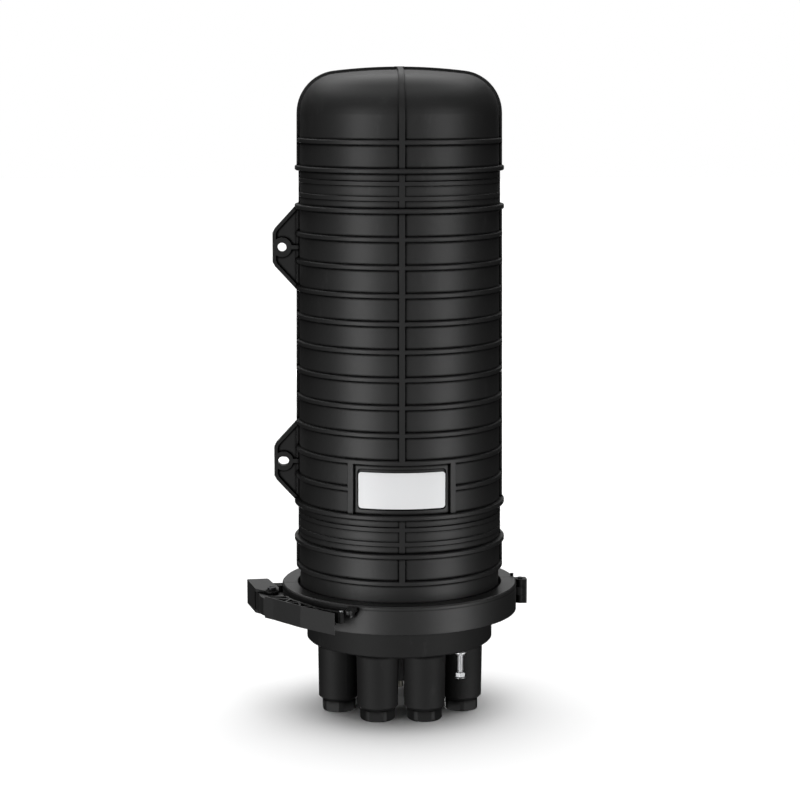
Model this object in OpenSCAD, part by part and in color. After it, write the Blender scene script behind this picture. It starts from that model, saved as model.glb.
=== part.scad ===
// Dome splice closure: a ribbed dome over a base with eight cable ports, held
// together by a two-piece clamp hoop with an over-centre lever. The dome's axis
// is Z, the closure stands on its gland nuts at z = 0, the label faces -Y and
// the two mounting lugs point to -X. Millimetres.

/* [Dome] */
// Radius over the ribs at the shoulder
dome_r = 101.8; // [98:0.1:106]
// Radius of the rounded shoulder
shoulder_r = 42; // [34:1:48]
// Radius of the shallow crown
crown_r = 530; // [450:10:700]
// Mould draft of the wall in degrees
draft = 0.38; // [0.2:0.02:0.6]
// Wall thickness
dome_wall = 5; // [4:0.25:6]
// Height of ribs and rings above the wall
rib_proud = 3; // [1.5:0.1:3.5]
// Width of an upright rib
rib_w = 5.6; // [4:0.2:8]
// Height of a ring at its root
ring_h = 5.4; // [4:0.2:7]
// Distance from ring to ring
ring_pitch = 27; // [24:0.5:32]
// Number of plain rings between the two waists
ring_count = 10; // [9:1:11]
// Distance between the two flanges of a waist
waist_h = 38; // [32:1:44]
// Height of the ribs and rings above the wall in a waist
waist_proud = 1; // [0.6:0.1:2]
// Offset of each small ring from the middle of its waist
waist_ring = 7.2; // [6:0.2:9]
// Height of the waist flanges above the rings
flange_proud = 1.8; // [1:0.1:3]
// Distance from the last ring to the centre of the shoulder
shoulder_gap = 26.3; // [20:0.1:34]
// Radius of the plain neck above the hoop
neck_r = 101; // [100:0.1:102]
// Height of the neck from the hoop to the lowest ring
neck_h = 19.3; // [14:0.1:26]

/* [Label] */
// Width of the label
label_w = 84.5; // [60:0.5:88]
// Height of the label
label_h = 35.5; // [25:0.5:38]
// Corner radius of the label
label_corner = 3; // [1.5:0.1:5]
// Thickness of the label
label_t = 0.5; // [0.3:0.1:0.8]
// Angle of the panel's side ribs from the front, degrees
panel_angle = 28.8; // [28:0.2:34]

/* [Mounting lugs] */
// Distance from the axis to the outer edge of a lug
lug_reach = 126.5; // [124:0.5:132]
// Half height of a lug where it meets the flange
lug_root = 39.4; // [36:0.2:42]
// Half height of a lug's outer edge
lug_tip = 14.5; // [13:0.5:16]
// Thickness of a lug over its rim
lug_t = 9; // [7:0.5:12]
// Thickness of a lug's web
lug_web = 3.5; // [2.5:0.25:5]
// Width of a lug's rim
lug_rim = 3.4; // [2.5:0.1:4]
// Diameter of the mounting holes
lug_hole_d = 9; // [6.5:0.5:10]
// Extra length of the lower, slotted hole
lug_slot = 2; // [1:0.5:3]
// Distance from a lug's outer edge to the middle of its hole
lug_hole_edge = 9.4; // [9:0.1:10.4]

/* [Base] */
// Radius of the collar
collar_r = 94.4; // [93:0.2:95.4]
// Height of the collar below the hoop
collar_h = 29.7; // [24:0.1:36]
// Thickness of the base floor
floor_t = 9; // [6:0.5:12]
// Radius of the clamped flanges
seam_r = 111; // [109:0.25:111.5]
// Thickness of the base flange at its edge
seam_t = 5.5; // [4:0.25:7]
// Slope of the clamped flanges, height over the full width
seam_slope = 3; // [2:0.25:3.5]
// Height of the spigot inside the dome
spigot_h = 11; // [9:0.5:14]
// Section diameter of the seal ring
o_ring_d = 3.5; // [3:0.1:4]

/* [Ports] */
// Pitch circle radius of the ports
port_circle = 67.5; // [66:0.25:69]
// Angle of the front and rear ports from the Y axis, degrees
port_near = 20.25; // [19.75:0.25:22]
// Angle of the side ports from the Y axis, degrees
port_side = 66.75; // [65:0.25:69]
// Outer radius of a port tube at its lower end
port_r = 20.4; // [19.8:0.1:21]
// Mould draft of the port tubes in degrees
port_draft = 0.8; // [0.4:0.1:1]
// Bore radius of a port tube
port_bore_r = 15.55; // [14.5:0.05:15.8]
// Length of a port tube below the collar
port_len = 58.2; // [50:0.1:64]
// Chamfer at the end of a port tube
port_chamfer = 3.4; // [2:0.1:3.8]

/* [Gland nuts] */
// Width across the nut's flats
nut_flats = 32.2; // [32:0.1:33.4]
// Diameter of the turned corners
nut_corner_d = 35; // [34:0.1:36]
// Height of the nut's head
nut_head = 10.5; // [8:0.5:14]
// Length of the shank inside the port
nut_shank = 15; // [10:0.5:20]
// Bore radius of the nut
nut_bore_r = 12.5; // [9:0.1:12.8]
// Running clearance of the shank
shank_gap = 0.05; // [0.03:0.01:0.09]
// Length of the rubber gland above the nut
gland_len = 20; // [14:0.5:26]

/* [Clamp hoop] */
// Outer radius of the hoop
hoop_r = 119.2; // [118:0.2:120.4]
// Height of the hoop
hoop_h = 28; // [26:0.5:31]
// Inner radius of the upper lip
lip_top_r = 103.2; // [102.6:0.1:104.5]
// Inner radius of the lower lip
lip_low_r = 97; // [96.4:0.2:99]
// Chamfer of the hoop's upper edge
hoop_chamfer = 1.3; // [0.6:0.1:2]
// Turn of the hoop on the closure, degrees
hoop_turn = 4.6; // [0:0.2:10]
// Radius of a hinge knuckle
knuckle_r = 6; // [5:0.1:6.4]
// Distance from the axis to the hinge pin
hinge_x = 124.7; // [124.2:0.1:126]
// Radius of the hinge pin
hinge_pin_r = 2; // [1.6:0.1:2.6]

/* [Lever latch] */
// Height of the lever
lever_h = 21.6; // [20:0.2:23]
// Height of the hook over its plates
hook_h = 24.8; // [24:0.2:25.6]
// Thickness of a hook plate
hook_plate = 3.2; // [2.6:0.1:3.4]
// Radius of the steel pins of the latch
latch_pin_r = 2.5; // [2:0.1:2.8]
// Radius of the catch pin across the hook
catch_pin_r = 3; // [2.6:0.1:3.2]
// Thickness of the lever's front wall
lever_wall = 3; // [2.2:0.1:3.4]
// Thickness of the lever's ribs
lever_rib = 2; // [1.4:0.1:2.6]

/* [Fittings] */
// Thread diameter of the earth stud
stud_d = 6; // [5:0.5:8]
// Distance from the axis to the earth stud
stud_r = 86; // [85:0.25:87]
// Angle of the earth stud from the front, degrees
stud_angle = 43.5; // [42:0.5:46]
// Length of the stud below the collar
stud_len = 29.5; // [24:0.5:36]
// Diameter of the valve stem
valve_d = 8; // [6:0.5:9]
// Diameter of the valve body
valve_body_d = 14; // [12:0.5:18]
// Length of the valve body below the collar
valve_len = 47; // [36:0.5:50]

/* [Splice trays] */
// Number of splice trays
tray_count = 4; // [4:1:4]
// Width of a tray
tray_w = 112; // [100:1:120]
// Length of a tray
tray_len = 290; // [240:1:310]
// Thickness of a tray
tray_t = 10; // [8:0.5:12]
// Wall thickness of a tray
tray_wall = 1.6; // [1.2:0.1:2]
// Gap from tray to tray
tray_gap = 0.4; // [0.3:0.1:0.8]
// Width of the tray frame
frame_w = 124; // [116:1:130]
// Sheet thickness of the tray frame
frame_t = 2; // [1.5:0.1:2.5]
// Depth of the frame's foot
foot_depth = 16; // [14:1:20]
// Height of the lowest tray edge above the frame's foot
tray_lift = 62; // [50:1:80]
// Frame left over above the trays
frame_over = 12; // [6:1:16]

/* [Hidden] */
$fn = 96;
part_gap = 0.3;
small = 0.01;

// ---- heights, from the gland nuts up ----
port_z = nut_head + part_gap;
collar_z = port_z + port_len;
hoop_z = collar_z + collar_h;
hoop_top = hoop_z + hoop_h;
seam_z = hoop_z + hoop_h / 2;
low_ring_z = hoop_top + neck_h;
low_flange_z = low_ring_z + ring_pitch;
panel_z0 = low_flange_z + waist_h;
panel_z1 = panel_z0 + 2 * ring_pitch;
high_flange_z = panel_z0 + (ring_count + 1) * ring_pitch;
waist_top_z = high_flange_z + waist_h;
top_ring_z = waist_top_z + ring_pitch;
shoulder_z = top_ring_z + shoulder_gap;
pocket_z = (panel_z0 + panel_z1) / 2 + 0.4;
label_z = pocket_z - 1.1;
floor_z = collar_z + floor_t;

// ---- dome surfaces ----
shoulder_x = dome_r - shoulder_r;
crown_z = shoulder_z - sqrt(pow(crown_r - shoulder_r, 2) - pow(shoulder_x, 2));
crown_x = shoulder_x * crown_r / (crown_r - shoulder_r);
function rib_r(z) = dome_r + (shoulder_z - z) * tan(draft);
function wall_r(z) = rib_r(z) - rib_proud;
bore_r = wall_r(low_ring_z) - dome_wall;
plain_rings = [for (i = [2 : ring_count]) panel_z0 + i * ring_pitch];
waists = [(low_flange_z + panel_z0) / 2, (high_flange_z + waist_top_z) / 2];
lug_zs = [panel_z0 + 1.5 * ring_pitch, panel_z0 + (ring_count - 0.5) * ring_pitch];

// The region under a surface that lies "inset" below the ribs.
module dome_outline(inset) {
    r_crown = crown_r - inset;
    r_shoulder = shoulder_r - inset;
    x_joint = crown_x * r_crown / crown_r;
    intersection() {
        translate([0, crown_z]) circle(r_crown);
        translate([0, shoulder_z - 1]) square([x_joint, crown_r]);
    }
    intersection() {
        translate([shoulder_x, shoulder_z]) circle(r_shoulder);
        translate([x_joint - 6, shoulder_z - small]) square([shoulder_r + 10, shoulder_r]);
    }
    polygon([
        [0, low_ring_z], [rib_r(low_ring_z) - inset, low_ring_z],
        [rib_r(shoulder_z) - inset, shoulder_z], [0, shoulder_z]
    ]);
}

// Trapezoid section of a ring around height z.
module ring_section(z, r_root, r_tip, h_root, h_tip) {
    polygon([
        [r_root, z - h_root / 2], [r_tip - 0.6, z - h_tip / 2 - 0.3], [r_tip, z - h_tip / 2 + 0.4],
        [r_tip, z + h_tip / 2 - 0.4], [r_tip - 0.6, z + h_tip / 2 + 0.3], [r_root, z + h_root / 2]
    ]);
}

module plain_ring(z) {
    ring_section(z, wall_r(z) - 1, rib_r(z), ring_h, ring_h - 1.6);
}

module flange_ring(z) {
    ring_section(z, wall_r(z) - dome_wall / 2, rib_r(z) + flange_proud, ring_h, ring_h - 1.6);
}

module dome_flange() {
    slope_z = seam_z + seam_t + part_gap;
    polygon([
        [bore_r, seam_z + part_gap / 2], [seam_r, seam_z + part_gap / 2],
        [seam_r, slope_z], [neck_r, slope_z + seam_slope],
        [neck_r, low_ring_z + 1], [bore_r, low_ring_z + 1]
    ]);
}

module dome_shell() {
    rotate_extrude() {
        difference() {
            union() {
                dome_outline(rib_proud);
                for (z = concat(plain_rings, [low_ring_z, top_ring_z])) plain_ring(z);
                for (z = [low_flange_z, panel_z0, high_flange_z, waist_top_z]) flange_ring(z);
                for (z = waists, side = [-1, 1]) {
                    ring_z = z + side * waist_ring;
                    ring_section(ring_z, wall_r(z) - 1, wall_r(ring_z) + waist_proud, ring_h, ring_h - 1);
                }
            }
            dome_outline(rib_proud + dome_wall);
        }
        dome_flange();
    }
}

// The skin that the upright ribs are cut from; lower across the waists.
module rib_skin() {
    rotate_extrude() difference() {
        dome_outline(0);
        dome_outline(rib_proud + dome_wall / 2);
        for (z = waists) intersection() {
            translate([0, z - waist_h / 2]) square([2 * dome_r, waist_h]);
            difference() {
                translate([0, z - waist_h]) square([2 * dome_r, 2 * waist_h]);
                dome_outline(rib_proud - waist_proud);
            }
        }
    }
}

module upright_ribs() {
    reach = 2 * dome_r + 40;
    intersection() {
        rib_skin();
        difference() {
            union() {
                translate([-rib_w / 2, -reach / 2, 0]) cube([rib_w, reach, 1000]);
                translate([-reach / 2, -rib_w / 2, 0]) cube([reach, rib_w, 1000]);
            }
            translate([-rib_w, -reach / 2, panel_z0]) cube([2 * rib_w, reach / 2, panel_z1 - panel_z0]);
        }
    }
}

// Side ribs of the label panel and the one ring that stops at them.
module panel_ribs() {
    intersection() {
        rib_skin();
        for (side = [-1, 1]) rotate([0, 0, side * panel_angle])
            translate([-rib_w / 2, -2 * dome_r, panel_z0]) cube([rib_w, 2 * dome_r, panel_z1 - panel_z0]);
    }
    rotate([0, 0, -90 + panel_angle]) rotate_extrude(angle = 360 - 2 * panel_angle)
        plain_ring(panel_z0 + ring_pitch);
}

module rounded_plate(w, h, r) {
    square([w - 2 * r, h], center = true);
    square([w, h - 2 * r], center = true);
    for (x = [-1, 1], y = [-1, 1]) translate([x * (w / 2 - r), y * (h / 2 - r)]) circle(r);
}

// A block that cuts a rounded rectangle w by h out of the front wall.
module front_block(z, w, h, r) {
    translate([0, 0, z]) rotate([90, 0, 0])
        linear_extrude(height = dome_r + 30) rounded_plate(w, h, r);
}

gate_r = 5;
label_depth = 1;
label_edge = 1;

module label_pocket() {
    intersection() {
        front_block(pocket_z, label_w + 2 * label_edge, label_h + 5 * label_edge, label_corner + label_edge);
        rotate_extrude() polygon([
            [wall_r(panel_z0) - label_depth, panel_z0], [dome_r + 40, panel_z0],
            [dome_r + 40, panel_z1], [wall_r(panel_z1) - label_depth, panel_z1]
        ]);
    }
}

// ---- mounting lugs ----
lug_slope = (lug_root - lug_tip - 4.5) / (lug_reach - 2.4 - dome_r - 3.5);
function lug_line(u, inset) =
    lug_root - (u - dome_r - 3.5) * lug_slope - inset * sqrt(1 + lug_slope * lug_slope);
function lug_points(u0, inset) = let (
    u1 = lug_reach - 2.4 - inset * 0.6,
    u2 = lug_reach - inset,
    z1 = lug_line(u1, inset),
    z2 = lug_tip - inset * 0.4
) [[u0, lug_line(u0, inset)], [u1, z1], [u2, z2], [u2, -z2], [u1, -z1], [u0, -lug_line(u0, inset)]];
lug_hole_r = lug_reach - lug_hole_edge;
lug_drop = 0.6;
lug_boss_r = lug_hole_d / 2 + 5.2;
lug_bar = 4;

module lug_field(u0) {
    difference() {
        polygon(lug_points(u0, lug_rim));
        translate([lug_hole_r, 0]) circle(lug_boss_r);
        translate([u0 - 1, -lug_bar / 2]) square([lug_hole_r - u0, lug_bar]);
    }
}

module lug_blank(u0) {
    depth = (lug_t - lug_web) / 2;
    difference() {
        linear_extrude(height = lug_t, center = true) polygon(lug_points(u0, 0));
        for (side = [-1, 1]) translate([0, 0, side * (lug_t - depth) / 2 + side * small])
            linear_extrude(height = depth + 2 * small, center = true) lug_field(u0);
    }
}

module lug(z, slot) {
    u0 = wall_r(z) - dome_wall / 2;
    translate([0, 0, z - lug_drop]) rotate([90, 0, 180]) difference() {
        lug_blank(u0);
        translate([lug_hole_r, 0, 0]) {
            cylinder(d = lug_hole_d, h = lug_t + 2, center = true);
            if (slot > 0) {
                for (side = [-1, 1]) translate([side * slot / 2, 0, 0])
                    cylinder(d = lug_hole_d, h = lug_t + 2, center = true);
                cube([slot, lug_hole_d, lug_t + 2], center = true);
            }
        }
    }
}

module dome() {
    color([0.13, 0.13, 0.14]) {
        difference() {
            union() {
                dome_shell();
                upright_ribs();
                panel_ribs();
            }
            label_pocket();
        }
        gate_boss();
        lug(lug_zs[0], lug_slot);
        lug(lug_zs[1], 0);
    }
}

// Moulding gate in the middle of the crown, inside and out.
module gate_boss() {
    translate([0, 0, crown_z + crown_r - rib_proud - dome_wall - 1])
        cylinder(r = gate_r, h = rib_proud + dome_wall + 1.2);
}

module label() {
    color([0.85, 0.86, 0.87]) intersection() {
        front_block(label_z, label_w, label_h, label_corner);
        rotate_extrude() polygon([
            [wall_r(panel_z0) - label_depth, panel_z0], [wall_r(panel_z0) - label_depth + label_t, panel_z0],
            [wall_r(panel_z1) - label_depth + label_t, panel_z1], [wall_r(panel_z1) - label_depth, panel_z1]
        ]);
    }
}

// ---- base ----
port_angles = [for (mid = [0, 180], side = [-1, 1], a = [port_near, port_side])
    mid + side * (mid == 0 ? a : -a)];
// Ports are numbered round the base, from the left front one.
port_order = [1, 0, 2, 3, 5, 4, 6, 7];
spigot_r = bore_r - 1;
seal_gap = 0.1;
groove_r = bore_r - o_ring_d - 2 * seal_gap;
groove_z = seam_z + spigot_h / 2;

module at_port(i) {
    rotate([0, 0, port_angles[port_order[i]]]) translate([0, -port_circle, 0]) children();
}

module base_profile() {
    difference() {
        polygon([
            [0, collar_z], [collar_r - 1.2, collar_z], [collar_r, collar_z + 1.2],
            [collar_r, seam_z - seam_t - seam_slope], [seam_r, seam_z - seam_t],
            [seam_r, seam_z], [spigot_r, seam_z], [spigot_r, seam_z + spigot_h - 1],
            [spigot_r - 1, seam_z + spigot_h], [spigot_r - 7, seam_z + spigot_h],
            [spigot_r - 7, floor_z], [0, floor_z]
        ]);
        translate([groove_r, groove_z - o_ring_d * 0.6]) square([20, o_ring_d * 1.2]);
    }
}

module port_tube() {
    rotate_extrude() polygon([
        [port_bore_r - 1, port_z], [port_r - port_chamfer, port_z], [port_r, port_z + port_chamfer],
        [port_r + (port_len - port_chamfer) * tan(port_draft), collar_z], [port_r, collar_z + small],
        [port_r, floor_z + port_rise], [port_bore_r - 1, floor_z + port_rise]
    ]);
}

port_rise = 8;
frame_foot_y = 6;
frame_screw_x = 34;
frame_screw_d = 4;
post_h = 14;

module base() {
    color([0.14, 0.14, 0.15]) difference() {
        union() {
            rotate_extrude() base_profile();
            for (i = [0 : 7]) at_port(i) port_tube();
            for (x = [-1, 1]) translate([x * frame_screw_x, frame_foot_y, floor_z - 1])
                cylinder(d = frame_screw_d + 8, h = post_h + 1);
        }
        for (i = [0 : 7]) at_port(i) translate([0, 0, port_z - 1])
            cylinder(r = port_bore_r, h = collar_h + port_len + 60);
        for (x = [-1, 1]) translate([x * frame_screw_x, frame_foot_y, floor_z + post_h - 10])
            cylinder(d = frame_screw_d, h = 20);
        translate([0, 0, collar_z - 1]) cylinder(d = valve_d, h = floor_t + 2);
        rotate([0, 0, stud_angle]) translate([0, -stud_r, collar_z - 1])
            cylinder(d = stud_d, h = stud_hole + 1);
    }
}

module seal_ring() {
    color([0.05, 0.05, 0.05]) rotate_extrude()
        translate([bore_r - o_ring_d / 2 - seal_gap, groove_z]) circle(d = o_ring_d);
}

// ---- clamp hoop, drawn closed with the split on local y = 0 ----
lip_t = hoop_h / 2 - seam_t - seam_slope - 1.5 * part_gap;
channel_r = seam_r + 1.2;
split_angle = 0.15;

module hoop_profile() {
    low = hoop_z + lip_t;
    high = hoop_top - lip_t;
    slope_out = (channel_r - lip_top_r) * seam_slope / (seam_r - neck_r);
    polygon([
        [lip_low_r, hoop_z], [hoop_r, hoop_z], [hoop_r, hoop_top - hoop_chamfer],
        [hoop_r - hoop_chamfer, hoop_top], [lip_top_r + 0.8, hoop_top], [lip_top_r, hoop_top - 0.8],
        [lip_top_r, high], [channel_r, high - slope_out], [channel_r, low + slope_out],
        [collar_r + 3, low], [lip_low_r, low - 0.4]
    ]);
}

module half_hoop(start) {
    rotate([0, 0, start + split_angle])
        rotate_extrude(angle = 180 - 2 * split_angle) hoop_profile();
}

// Hinge: two knuckles on the rear half, one on the front half.
hinge_z0 = hoop_z + 1.6;
hinge_z1 = hoop_top - 1.6;
hinge_third = (hinge_z1 - hinge_z0) / 3;

// Knuckle with its root on the hoop, bored for the pin.
module knuckle(z0, z1, side) {
    x0 = hoop_r - 4;
    y0 = side > 0 ? part_gap : -knuckle_r;
    translate([0, 0, z0]) linear_extrude(height = z1 - z0) difference() {
        union() {
            translate([hinge_x, 0]) circle(knuckle_r);
            translate([hinge_x + knuckle_r / 2 + 0.5, 0]) rounded_plate(knuckle_r, 2 * knuckle_r, 1.5);
            translate([x0, y0]) square([hinge_x - x0, knuckle_r - part_gap]);
        }
        translate([hinge_x, 0]) circle(hinge_pin_r);
    }
}

module hinge_clear(z0, z1) {
    translate([hinge_x, 0, z0 - part_gap]) cylinder(r = knuckle_r + 0.5, h = z1 - z0 + 2 * part_gap);
}

rear_knuckles = [
    [hinge_z0, hinge_z0 + hinge_third - part_gap],
    [hinge_z1 - hinge_third + part_gap, hinge_z1]
];
front_knuckle = [hinge_z0 + hinge_third, hinge_z1 - hinge_third];

// ---- latch, in the hoop's local frame ----
// Lever pivot on the front half, hook pin on the lever, catch pin on the hook.
pivot = [-138, -2];
joint = [-131.5, -27];
catch = [-140, 17.5];
keeper = [-68.9, -118.3];
keeper_r = 3.3;
tab_tip = [-61.6, -120.2];
tab_root = [-55, -102.6];
tab_r = 3.7;
tab_root_w = 8.4;
tab_t = 3.6;
tab_web_h = 5;
eye_r = 5.5;
keeper_pin_r = 1.5;
pin_play = 0.05;
catch_tooth = 1.4;
catch_play = 1.1;
level = hoop_z + hoop_h / 2;
tongue_h = 7.2;
arm_h = 5;
arm_top = tongue_h / 2 + part_gap + arm_h;

module at_level(h) {
    translate([0, 0, level - h / 2]) linear_extrude(height = h) children();
}

// Ear of the front half that carries the lever.
module pivot_ear() {
    translate(pivot) circle(eye_r);
    polygon([
        [pivot[0] - 1, pivot[1] - eye_r], [1 - hoop_r, pivot[1] - eye_r - 6],
        [1 - hoop_r, -part_gap], [pivot[0] + 4, pivot[1] + eye_r - 1.8]
    ]);
}

// Ear of the rear half with the tooth that the catch pin hooks over.
module catch_ear() {
    seat_x = catch[0] + catch_pin_r + part_gap;
    tooth_x = catch[0] + catch_pin_r - catch_tooth;
    tooth_y = catch[1] - catch_pin_r - catch_play;
    polygon([
        [1 - hoop_r, tooth_y - 6], [tooth_x + 2, tooth_y - 5], [tooth_x, tooth_y - 3.5],
        [tooth_x, tooth_y], [seat_x, tooth_y + 0.6], [seat_x, catch[1] + 4],
        [5 - hoop_r, catch[1] + 9]
    ]);
}

// Tab beside the lever's end, with a hole for a seal wire.
module keeper_tab() {
    tab_z = hoop_top - 1.6;
    translate([0, 0, tab_z - tab_t]) linear_extrude(height = tab_t) difference() {
        union() {
            translate(tab_tip) circle(tab_r);
            hull_line(tab_tip, tab_root, 2 * tab_r, tab_root_w);
        }
        translate(tab_tip) circle(1.4);
    }
    translate([0, 0, tab_z - tab_t - tab_web_h]) linear_extrude(height = tab_web_h + small)
        hull_line(tab_tip + [2.2, 4.4], tab_root, 2.4, 3.2);
}

// Tapered strip from a to b.
module hull_line(a, b, wa, wb) {
    d = (b - a) / norm(b - a);
    n = [-d[1], d[0]];
    polygon([a + n * wa / 2, b + n * wb / 2, b - n * wb / 2, a - n * wa / 2]);
}

module rear_hoop() {
    color([0.15, 0.15, 0.16]) rotate([0, 0, hoop_turn]) {
        difference() {
            half_hoop(0);
            hinge_clear(front_knuckle[0], front_knuckle[1]);
        }
        for (k = rear_knuckles) knuckle(k[0], k[1], 1);
        at_level(tongue_h) catch_ear();
        at_level(fin_h) catch_fins();
        translate([hoop_r - 3.4, 6, hoop_top - 4]) cube([3, 3, 6.2]);
    }
}

// Upright fins that brace the catch ear against the hoop.
fin_h = 19;
module catch_fins() {
    for (y = [7, 12, 17]) translate([-hoop_r - 9, y - 0.9]) square([12, 1.8]);
}

module front_hoop() {
    color([0.15, 0.15, 0.16]) rotate([0, 0, hoop_turn]) {
        difference() {
            half_hoop(180);
            for (k = rear_knuckles) hinge_clear(k[0], k[1]);
        }
        knuckle(front_knuckle[0], front_knuckle[1], -1);
        difference() {
            at_level(tongue_h) pivot_ear();
            translate([pivot[0], pivot[1], level - 10]) cylinder(r = latch_pin_r, h = 20);
        }
        difference() {
            keeper_tab();
            translate([0, 0, hoop_z]) cylinder(r = hoop_r - 3, h = hoop_h);
        }
    }
}

module hinge_pin() {
    color([0.62, 0.63, 0.65]) rotate([0, 0, hoop_turn]) translate([hinge_x, 0, hinge_z0 - 0.8]) {
        cylinder(r = hinge_pin_r - 0.03, h = hinge_z1 - hinge_z0 + 0.9);
        translate([0, 0, hinge_z1 - hinge_z0 + 0.8]) cylinder(r = hinge_pin_r + 0.6, h = 1.4);
    }
}

// Plan of the lever: outer face, then back along the wall next to the hoop.
lever_face = [[-144.6, -25], [-143.8, -36], [-141, -44.5], [-131.5, -56], [-107, -90], [-76, -123.8]];
lever_back = [[-74.5, -119], [-84, -105.5], [-94.5, -90.8], [-113, -60], [-121.5, -32], [-125, -24]];
lever_low_y = -46;
// Root of the lever's front wall, which fills the gap up to the hook's outer wall.
lever_root = [[-144.5, -26.5], [-144.6, -25], [-147.4, -15.2], [-144.9, -14.6], [-141.9, -26.5]];
lever_inner = [
    [-136.9, -46.5], [-129.2, -57], [-104.8, -90.6], [-74, -124.3], [-71, -121],
    [-85.7, -106.9], [-96.3, -92], [-115, -61], [-118.8, -47.5]
];
lever_web = 3;

module lever_plan() {
    polygon(concat(lever_face, lever_back));
}

// Ribs that cross between the two walls, as a zigzag.
module lever_lattice() {
    stations = [
        [-137, -51], [-115, -59], [-121, -71], [-107, -74], [-107, -91], [-95, -91], [-90, -110]
    ];
    for (i = [0 : len(stations) - 2]) {
        a = stations[i];
        b = stations[i + 1];
        d = b - a;
        translate(a) rotate(atan2(d[1], d[0])) translate([0, -lever_rib / 2])
            square([norm(d), lever_rib]);
    }
}

module lever_body() {
    cell = (lever_h - lever_web) / 2;
    low_h = 2 * arm_top;
    difference() {
        union() {
            intersection() {
                at_level(lever_h) lever_plan();
                translate([-200, -200, 0]) cube([400, 200 + lever_low_y, 400]);
            }
            at_level(low_h) {
                intersection() {
                    lever_plan();
                    translate([-200, lever_low_y - 1]) square([400, 200]);
                }
                translate(joint) circle(eye_r + 1);
                lever_arm();
                polygon(lever_root);
            }
            translate([0, 0, level]) linear_extrude(height = lever_h / 2) keeper_boss();
        }
        for (side = [-1, 1])
            translate([0, 0, level + side * (lever_web + cell) / 2 + side * small])
                linear_extrude(height = cell + 2 * small, center = true) difference() {
                    polygon(lever_inner);
                    lever_lattice();
                }
    }
}

module lever_arm() {
    translate(pivot) circle(eye_r);
    polygon([
        pivot + [-eye_r + 0.3, -1.5], pivot + [eye_r - 0.3, 1.5],
        joint + [eye_r, 1.5], joint + [-eye_r - 6, 1]
    ]);
}

// End of the inner wall: a boss with a steel pin, beside the hoop's tab.
module keeper_boss() {
    translate(keeper) circle(keeper_r);
    polygon([keeper + [-1.2, 3.1], keeper + [-2.2, -2.4], [-84.5, -108], [-83.5, -103.6]]);
}

module lever() {
    color([0.17, 0.17, 0.18]) rotate([0, 0, hoop_turn]) difference() {
        lever_body();
        translate([0, 0, level - tongue_h / 2 - part_gap])
            linear_extrude(height = tongue_h + 2 * part_gap) translate(pivot) circle(13);
        translate([joint[0], joint[1], hoop_z]) cylinder(r = latch_pin_r, h = hoop_h);
        translate([pivot[0], pivot[1], hoop_z]) cylinder(r = latch_pin_r + pin_play, h = hoop_h);
        translate([keeper[0], keeper[1], level + 2]) cylinder(r = keeper_pin_r, h = hoop_h);
    }
}

module lever_pivot() {
    color([0.62, 0.63, 0.65]) rotate([0, 0, hoop_turn])
        translate([pivot[0], pivot[1], level - arm_top + 0.2])
            cylinder(r = latch_pin_r, h = 2 * arm_top - 0.4);
}

// Hook: two plates joined by an outer wall.
hook_outer = [[-147.6, -17.9], [-155, 25.4]];
hook_inner = [[-134, 26.2], [-132.5, 25], [-129.7, 9.8], [-124, -14]];
hook_wall = 3;
hook_eye_r = 6.7;
// The lever's root turns inside this distance from the hook pin.
hook_reach = 21;

function hook_back() = [hook_outer[0], hook_outer[1] + [0.6, -1.5], hook_outer[1] + [2, 0]];

module hook_plan() {
    polygon(concat(hook_back(), hook_inner, [
        joint + [hook_eye_r - 0.1, 1], joint + [0, -hook_eye_r], joint + [0.2 - hook_eye_r, -1.5]
    ]));
    translate(joint) circle(hook_eye_r);
}

module hook_wall_plan() {
    difference() {
        polygon(concat(hook_back(), [
            hook_outer[1] + [hook_wall, 0], hook_outer[0] + [hook_wall, 0]
        ]));
        translate(joint) circle(hook_reach);
    }
}

module hook() {
    plate_z = (hook_h - hook_plate) / 2;
    color([0.2, 0.2, 0.21]) rotate([0, 0, hoop_turn]) difference() {
        union() {
            for (side = [-1, 1]) translate([0, 0, level + side * plate_z])
                linear_extrude(height = hook_plate, center = true) hook_plan();
            at_level(hook_h - 1) hook_wall_plan();
            translate([joint[0], joint[1], level + hook_h / 2 - 1]) cylinder(r = 5.6, h = 1.9);
        }
        translate([joint[0], joint[1], hoop_z]) cylinder(r = latch_pin_r + pin_play, h = hoop_h);
        translate([catch[0], catch[1], hoop_z])
            cylinder(r = catch_pin_r, h = (hoop_h + hook_h) / 2 - 1.2);
    }
}

// Shouldered pin: its head is the boss on top of the hook.
module hook_pin() {
    color([0.2, 0.2, 0.22]) rotate([0, 0, hoop_turn]) translate([joint[0], joint[1], level]) {
        translate([0, 0, 0.3 - hook_h / 2]) cylinder(r = latch_pin_r, h = hook_h + 1);
        translate([0, 0, hook_h / 2 + 0.9 + part_gap / 3]) cylinder(r = 4.3, h = 1.6);
        translate([0, 0, hook_h / 2 + 2.5 + part_gap / 3 - small])
            cylinder(r1 = 4.3, r2 = 3.4, h = 0.8);
    }
}

module catch_pin() {
    color([0.2, 0.2, 0.22]) rotate([0, 0, hoop_turn])
        translate([catch[0], catch[1], level - hook_h / 2 + 0.3])
            cylinder(r = catch_pin_r, h = hook_h - 1.5);
}

module keeper_pin() {
    color([0.75, 0.76, 0.78]) rotate([0, 0, hoop_turn])
        translate([keeper[0], keeper[1], level + 2]) {
            cylinder(r = keeper_pin_r, h = lever_h / 2 - 1.7);
            translate([0, 0, lever_h / 2 - 2]) cylinder(r = keeper_pin_r + 0.9, h = 1.3);
        }
}

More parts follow.
